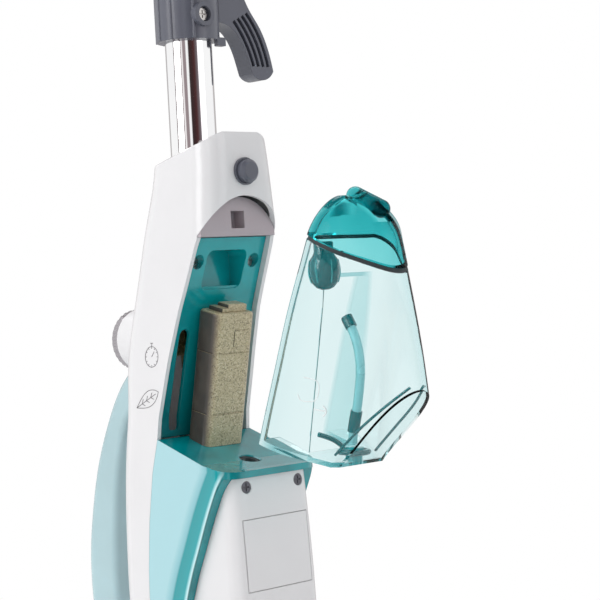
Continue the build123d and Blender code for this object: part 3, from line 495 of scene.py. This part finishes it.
def timer_sign(cy=8.1, cz=482.0, r=5.6):
    """Plain stopwatch: ring, ticks, button and one hand."""
    lines = [[polar(cy, cz, r, 9 * k) for k in range(41)]]
    for k in range(12):
        lines.append([polar(cy, cz, r * share, 30 * k) for share in (0.80, 0.86, 0.92)])
    rim, top = cz + r, cz + r + 1.8
    lines.append([(cy, rim), (cy, rim + 0.8), (cy, rim + 1.6)])
    lines.append([(cy - 1.2, top), (cy, top), (cy + 1.2, top)])
    lines.append([(cy, cz), (cy - 1.0, cz + 1.4), (cy - 2.0, cz + 2.8)])
    printed("timer_sign", "left_side_panel", lines, SIGN_LINE, SIGN_INK, "main_body")


def leaf_sign():
    """Plain leaf: two bowed edges, a vein and three pairs of side veins."""
    tip, foot = Vector((2.7, 463.0)), Vector((21.9, 454.0))
    along = foot - tip
    across = Vector((along.y, -along.x)).normalized()
    lines = []
    for side in (1, -1):
        edge = []
        for i in range(15):
            u = i / 14
            edge.append(tuple(tip + along * u + across * side * 4.2 * math.sin(math.pi * u ** 0.8)))
        lines.append(edge)
    lines.append([tuple(tip + along * u) for u in (0.12, 0.4, 0.7, 1.0)])
    for u in (0.35, 0.55, 0.75):
        for side in (1, -1):
            start = tip + along * u
            end = start - along * 0.10 + across * side * 2.0
            lines.append([tuple(start), tuple((start + end) / 2), tuple(end)])
    printed("leaf_sign", "left_side_panel", lines, SIGN_LINE, SIGN_INK, "main_body")


def cup_sign():
    """Plain white beaker and arrow on the tank, for filling it."""
    cup = [(-107.5, 471.0), (-111.2, 470.4), (-114.9, 468.6), (-114.3, 463.6), (-112.2, 459.0),
           (-107.8, 458.6), (-103.6, 459.6), (-103.6, 462.6)]
    shaft = [(-110.2, 454.9), (-112.8, 454.3), (-115.4, 453.7)]
    head = [(-115.0, 456.4), (-117.6, 453.2), (-114.0, 451.2)]
    printed("cup_sign", "water_tank", [cup], 0.28, SIGN_WHITE, "tank")
    printed("arrow_sign", "water_tank", [shaft, head], 0.42, SIGN_WHITE, "tank")


# ================================================================ what shows through the tank
def round_ring(cx, cy, z, r, count=24):
    """Level circle of points."""
    ring = []
    for i in range(count):
        a = math.tau * i / count
        ring.append((cx + r * math.cos(a), cy + r * math.sin(a), z))
    return ring


def air_valve():
    """Ribbed bulb that hangs under the cap."""
    # (radius, height) from the bottom
    profile = [(2.0, 514.0), (4.6, 515.2), (6.9, 518.0), (7.9, 522.0), (7.9, 526.0), (7.2, 529.0),
               (5.6, 531.4), (4.9, 533.0), (5.0, 537.6), (4.4, 538.2)]
    rings = [round_ring(AIR_VALVE_X, AIR_VALVE_Y, z, r) for r, z in profile]
    loft_mesh("tank_air_valve", rings, DEEP_TEAL_PART, "tank")
    ribs = []
    for k in range(6):
        ribs.append([(*polar(AIR_VALVE_X, AIR_VALVE_Y, r, 60 * k + 15), z)
                     for r, z in ((6.6, 517.6), (7.7, 521.0), (7.8, 525.0), (7.0, 529.0))])
    tube_piece("tank_air_valve_ribs", ribs, 0.45, MID_TEAL_PART, "tank")


def tank_hose():
    """Curved hose down to the outlet, with a sleeve at each end."""
    route = [(0, -113.6, 499), (0, -116.6, 494), (0, -120.4, 485), (0, -121.6, 474), (0, -119.6, 462),
             (0, -116.2, 449), (0, -113.6, 441), (0, OUTLET_Y, 435.4)]
    hose = tube_piece("tank_hose", [route], 2.4, HOSE_MAT, "tank")
    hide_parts("tank_pickup_hose")
    sleeves = [
        [(0, -117.0, 452.0), (0, -115.4, 447.0), (0, -113.8, 441.5)],
        [(0, -113.2, 499.6), (0, -114.6, 497.4), (0, -116.4, 494.4)],
    ]
    tube_piece("tank_hose_sleeves", sleeves, 3.1, DEEP_TEAL_PART, "tank")


def tank_floor_details():
    """Ring round the outlet, the rib that leads to it and the two ribs along the belly."""
    ring = round_ring(0, OUTLET_Y, 431.6, 7.2, 20)
    tube_piece("tank_outlet_ring", [ring], 1.5, DEEP_TEAL_PART, "tank", closed=True)
    rib = [(-18.6, -107.5, 441.6), (-14.0, -109.0, 440.0), (-8.6, -111.0, 437.0), (-6.4, -112.0, 434.4)]
    tube_piece("tank_floor_rib", [rib], 1.3, DEEP_TEAL_PART, "tank")
    belly = [(14.0, -114.0, 431.0), (13.2, -128.0, 442.2), (11.2, -142.0, 452.0), (8.2, -152.0, 459.2),
             (4.6, -159.0, 464.4)]
    sides = [[(side * x, y, z) for x, y, z in belly] for side in (-1, 1)]
    tube_piece("tank_belly_ribs", sides, 0.7, DEEP_TEAL_PART, "tank")


# ================================================================ mop pad
# (share of the outline, height): up the underside, round the rolled border, back over the top
PAD_ROWS = [
    (0.04, 0.5), (0.30, 0.9), (0.34, 0.3), (0.38, 0.9), (0.62, 0.9), (0.66, 0.3), (0.70, 0.9),
    (0.86, 0.8), (0.90, 1.4), (0.925, 0.9), (0.96, 0.1), (0.985, 0.5), (1.0, 2.2), (1.002, 3.6),
    (0.99, 5.4), (0.965, 6.6), (0.94, 6.8), (0.925, 5.9), (0.90, 6.3), (0.70, 6.5), (0.66, 5.9),
    (0.62, 6.5), (0.38, 6.5), (0.34, 5.9), (0.30, 6.5), (0.04, 6.5),
]
CORNER_STEPS = 12


def pad_edge():
    """Plan outline of the pad as points (x, y), corners rounded by parabolas."""
    w, d, t = PAD_HALF_W, PAD_HALF_D, PAD_TAPER
    corners = [Vector((w, -d)), Vector((w - t, d)), Vector((t - w, d)), Vector((-w, -d))]
    line = []
    for i, corner in enumerate(corners):
        before = (corners[i - 1] - corner).normalized()
        after = (corners[(i + 1) % 4] - corner).normalized()
        reach = PAD_CORNER / math.tan(before.angle(after) / 2)
        start, stop = corner + before * reach, corner + after * reach
        for k in range(CORNER_STEPS + 1):
            u = k / CORNER_STEPS
            line.append(start * (1 - u) ** 2 + corner * 2 * u * (1 - u) + stop * u ** 2)
    return line


def evenly(line, count):
    """count points at equal distances along a closed line."""
    lengths = [0.0]
    for a, b in zip(line, line[1:] + line[:1]):
        lengths.append(lengths[-1] + (b - a).length)
    out = []
    for k in range(count):
        target = lengths[-1] * k / count
        i = max(j for j in range(len(line)) if lengths[j] <= target)
        u = (target - lengths[i]) / (lengths[i + 1] - lengths[i])
        out.append(line[i].lerp(line[(i + 1) % len(line)], u))
    return out


def pad_ring(outline, share, height):
    """Outline shrunk to a share of its size, with a slightly wavy edge."""
    ring = []
    for k, place in enumerate(outline):
        wave = 0.35 * math.sin(k * 0.9) + 0.25 * math.sin(k * 0.37 + 1.0)
        place = place * share * (1.0 + wave * 0.0022 * share)
        lift = wave * 0.25 if share > 0.9 else 0.0
        ring.append((place.x, place.y, max(height + lift, 0.02)))
    return ring


def mop_pad():
    """Microfibre pad: a padded slab with a rolled, stitched border and quilted channels."""
    outline = evenly(pad_edge(), 160)
    rings = [pad_ring(outline, share, height) for share, height in PAD_ROWS]
    pad = loft_mesh("mop_pad", rings, MATS["cloth"], "floor_head")
    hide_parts("mop_cloth")


# ================================================================ spring inside the tube
def coil_spring():
    """Real coil in place of the plain spring cylinder."""
    turns, steps = 7, 16
    radius, start, length = 2.9, -4.6, 13.7
    line = []
    for i in range(turns * steps + 1):
        x, z = polar(0.0, BUTTON_Z, radius, 360.0 * i / steps)
        line.append((x, start + length * i / (turns * steps), z))
    spring = tube_piece("snap_coil", [line], 0.4, MATS["steel"], "main_body")
    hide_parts("snap_spring")


# ================================================================ light, floor, camera
# what mirrors see level with the object: degrees from the line towards the camera, and colour
FLATS = [
    (-180, (0.55, 0.53, 0.53)), (-146, (0.5, 0.48, 0.48)), (-138, (1.0, 1.0, 1.0)), (-84, (1.0, 1.0, 1.0)),
    (-80, (0.10, 0.06, 0.06)), (-71, (0.12, 0.07, 0.07)), (-67, (1.0, 0.97, 0.96)), (-53, (1.0, 0.97, 0.96)),
    (-50, (0.12, 0.08, 0.08)), (-42, (0.16, 0.11, 0.11)), (-39, (0.95, 0.92, 0.92)), (-33, (0.9, 0.86, 0.86)),
    (-30, (0.32, 0.26, 0.27)), (-17, (0.32, 0.26, 0.27)), (-14, (1.0, 1.0, 1.0)), (-5, (1.0, 1.0, 1.0)),
    (-2, (0.045, 0.03, 0.03)), (12, (0.05, 0.025, 0.025)), (24, (0.08, 0.03, 0.03)), (36, (0.16, 0.13, 0.14)),
    (50, (0.45, 0.43, 0.45)), (62, (1.0, 1.0, 1.0)), (132, (1.0, 1.0, 1.0)), (142, (0.5, 0.47, 0.47)),
    (180, (0.55, 0.53, 0.53)),
]
# degrees that turn the camera's heading, as seen from the object, to zero
TOWARDS_CAMERA = 129.8


def background(g, colour, strength):
    node = g.add("ShaderNodeBackground")
    g.put(colour, node.inputs["Color"])
    node.inputs["Strength"].default_value = strength
    return node.outputs["Background"]


def studio_world():
    """White surroundings; mirrored rays also see dark and white studio flats standing round the object."""
    world = bpy.data.worlds.new("studio")
    bpy.context.scene.world = world
    g = Graph(world)
    out = g.add("ShaderNodeOutputWorld")
    x, y, _ = g.split(g.add("ShaderNodeTexCoord").outputs["Generated"])
    heading = g.maths("ADD", g.maths("ARCTAN2", y, x), math.radians(TOWARDS_CAMERA))
    wrapped = g.maths("WRAP", heading, math.pi, -math.pi)
    turn = g.spread(wrapped, 0.0, 1.0, -math.pi, math.pi)
    stops = [((degrees + 180.0) / 360.0, colour) for degrees, colour in FLATS]
    reflected = background(g, g.ramp(turn, stops), 1.0)
    fill = background(g, (0.98, 0.99, 1.0), 0.62)
    seen = background(g, (1.0, 1.0, 1.0), 1.0)
    rays = g.add("ShaderNodeLightPath").outputs
    # what shows through clear plastic stays white, so refracted rays don't count as mirrored
    mirrored = g.maths("SUBTRACT", rays["Is Glossy Ray"], rays["Is Transmission Ray"], clamp=True)
    shown = g.mix_shader(mirrored, seen, reflected)
    g.link(g.mix_shader(rays["Is Diffuse Ray"], shown, fill), out.inputs["Surface"])


LIT_POINT = Vector((0, 0, 0.5))


def softbox(name, place, size, power, colour=(1, 1, 1)):
    """Rectangular light at place, turned towards the middle of the object."""
    data = bpy.data.lights.new(name, "AREA")
    data.shape = "RECTANGLE"
    data.size, data.size_y = size
    data.energy = power
    data.color = colour
    lamp = bpy.data.objects.new(name, data)
    lamp.location = place
    lamp.rotation_euler = (LIT_POINT - Vector(place)).to_track_quat("-Z", "Y").to_euler()
    bpy.context.scene.collection.objects.link(lamp)
    lamp.visible_camera = False


def lights():
    """Key from the left, a top light from behind and a weak warm fill in front, watts and metres."""
    softbox("key_left", (-2.2, 0.4, 1.5), (1.4, 1.8), 27.0)
    softbox("top_back", (0.5, 1.2, 2.2), (1.6, 1.0), 14.0)
    softbox("front_fill", (0.6, -2.0, 1.2), (1.2, 1.2), 5.0, (1.0, 0.94, 0.96))


def floor():
    """Pale round floor, just under the mop pad."""
    bm = bmesh.new()
    bmesh.ops.create_circle(bm, cap_ends=True, segments=96, radius=1.6)
    mesh = bpy.data.meshes.new("floor")
    bm.to_mesh(mesh)
    bm.free()
    obj = bpy.data.objects.new("floor", mesh)
    bpy.context.scene.collection.objects.link(obj)
    obj.location.z = -0.0002
    mesh.materials.append(plastic("floor_pale", (0.86, 0.86, 0.86), 0.6, grain=200.0, shade=0.99))


def camera():
    """Level view from the front left, a little rolled, at tank height."""
    turn, tip, roll = [math.radians(a) for a in (CAMERA_YAW, CAMERA_PITCH, CAMERA_ROLL)]
    back = Vector((-math.sin(turn) * math.cos(tip), -math.cos(turn) * math.cos(tip), math.sin(tip)))
    level = Vector((math.cos(turn), -math.sin(turn), 0.0))
    up = level.cross(-back)
    right = level * math.cos(roll) + up * math.sin(roll)
    top = up * math.cos(roll) - level * math.sin(roll)
    data = bpy.data.cameras.new("camera")
    data.lens = CAMERA_LENS
    data.sensor_width = 36.0
    data.clip_start = 0.05
    cam = bpy.data.objects.new("camera", data)
    bpy.context.scene.collection.objects.link(cam)
    turned = Matrix((right, top, back)).transposed().to_4x4()
    cam.matrix_world = Matrix.Translation(CAMERA_PLACE) @ turned
    bpy.context.scene.camera = cam


bpy.context.scene.view_settings.view_transform = "Standard"
dress_frame()
timer_sign()
leaf_sign()
cup_sign()
air_valve()
tank_hose()
tank_floor_details()
mop_pad()
coil_spring()
studio_world()
lights()
floor()
camera()
